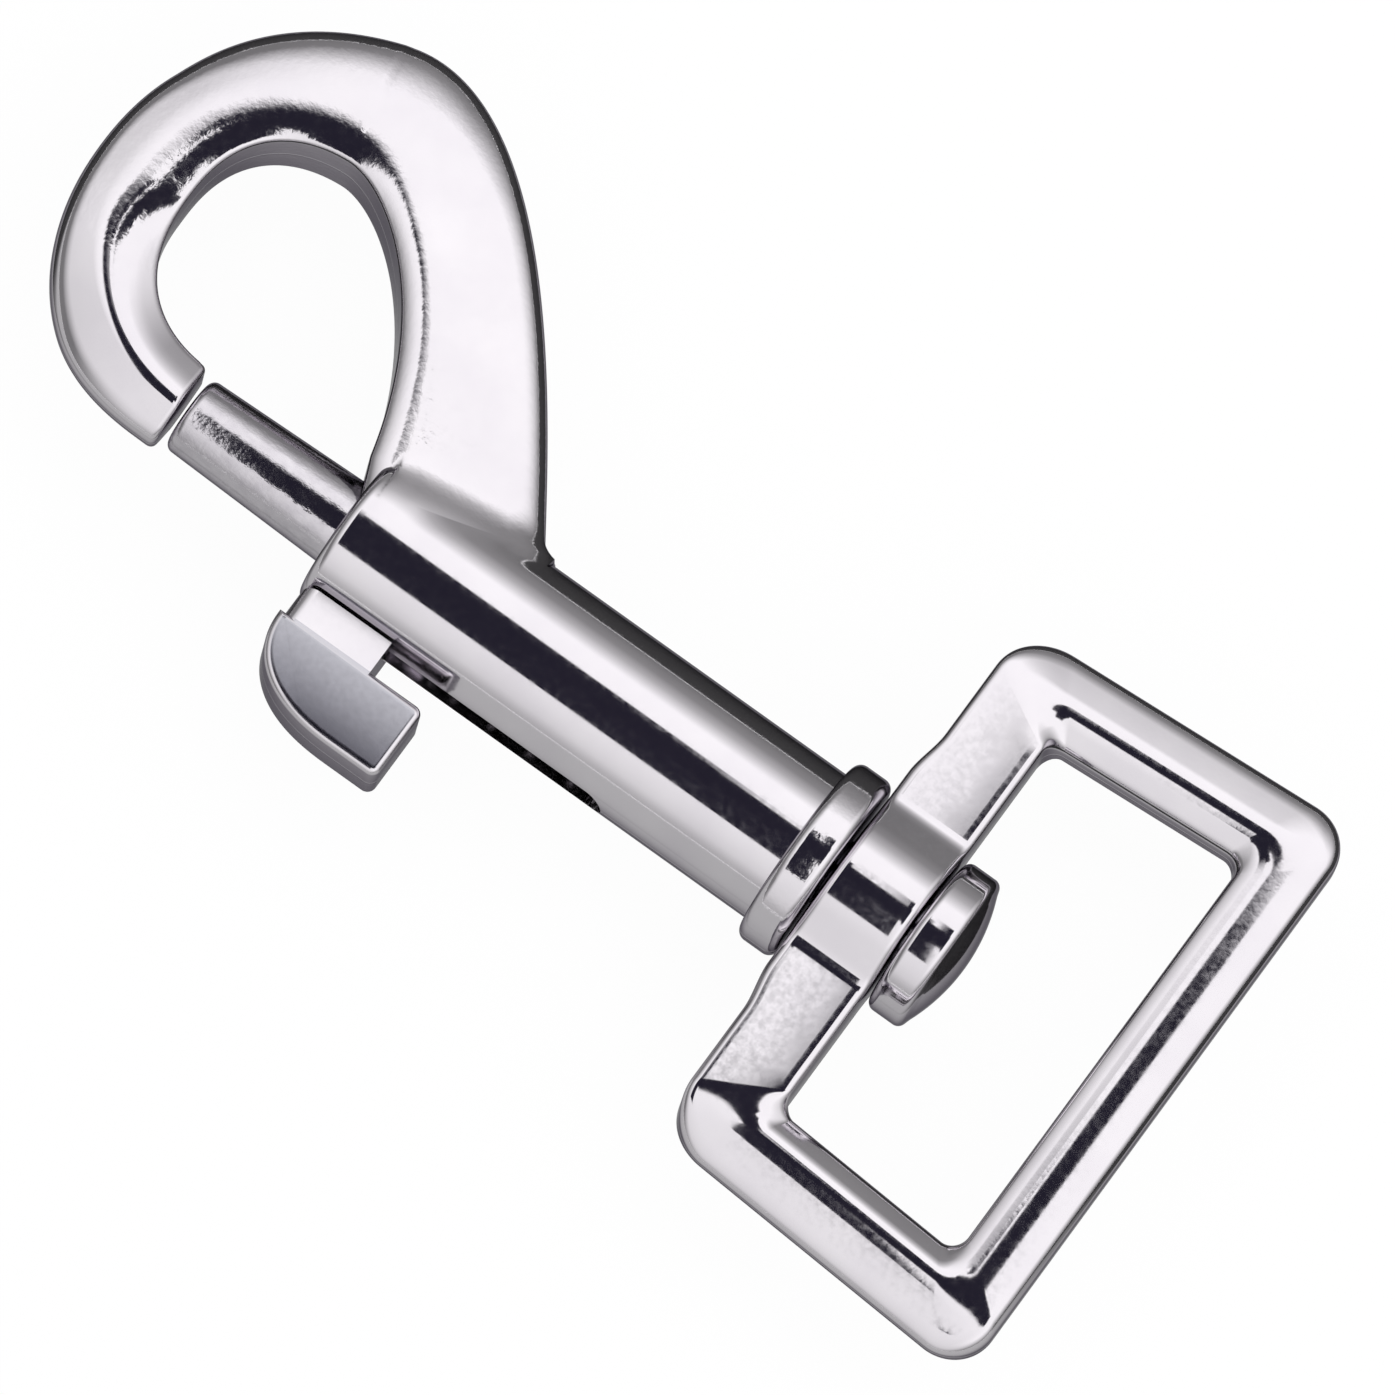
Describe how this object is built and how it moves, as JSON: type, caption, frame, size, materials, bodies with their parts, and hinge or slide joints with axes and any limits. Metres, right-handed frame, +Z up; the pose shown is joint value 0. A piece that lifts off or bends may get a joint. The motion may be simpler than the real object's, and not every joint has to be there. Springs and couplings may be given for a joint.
{
  "type": "swivel snap hook",
  "caption": "Plated bolt snap: a teardrop hook cast with its barrel, a sprung sliding bolt with a thumb tab, and a swivelling square eye for flat webbing.",
  "frame": {"origin": "middle of the outline in plan, on the surface that the hook lies on", "axes": "+X along the barrel from the hook to the strap eye, +Y from the barrel to the hook's crown, +Z up out of the plane of the hook"},
  "size_m": [0.0766, 0.042, 0.0114],
  "materials": {
    "plated_zinc": "bright nickel plating on die-cast zinc, polished",
    "plated_bolt": "bright nickel plating on a rougher casting",
    "spring_wire": "drawn spring wire"
  },
  "bodies": {
    "hook": {"hook_body": "plated_zinc", "end_collar": "plated_zinc", "swivel_rivet": "plated_zinc", "bolt_spring": "spring_wire"},
    "bolt": {"bolt": "plated_bolt", "thumb_tab": "plated_zinc"},
    "eye": {"swivel_eye": "plated_zinc"}
  },
  "joints": [
    {"name": "bolt_slide", "type": "slide", "parent": "hook", "child": "bolt", "axis": [1, 0, 0], "range_m": [0, 0.0142], "stiffness_N_per_m": 600, "springref_m": -0.004, "deforming": ["bolt_spring"]},
    {"name": "eye_swivel", "type": "hinge", "parent": "hook", "child": "eye", "pos_m": [0.01935, -0.00274, 0.0057], "axis": [1, 0, 0], "continuous": true}
  ]
}
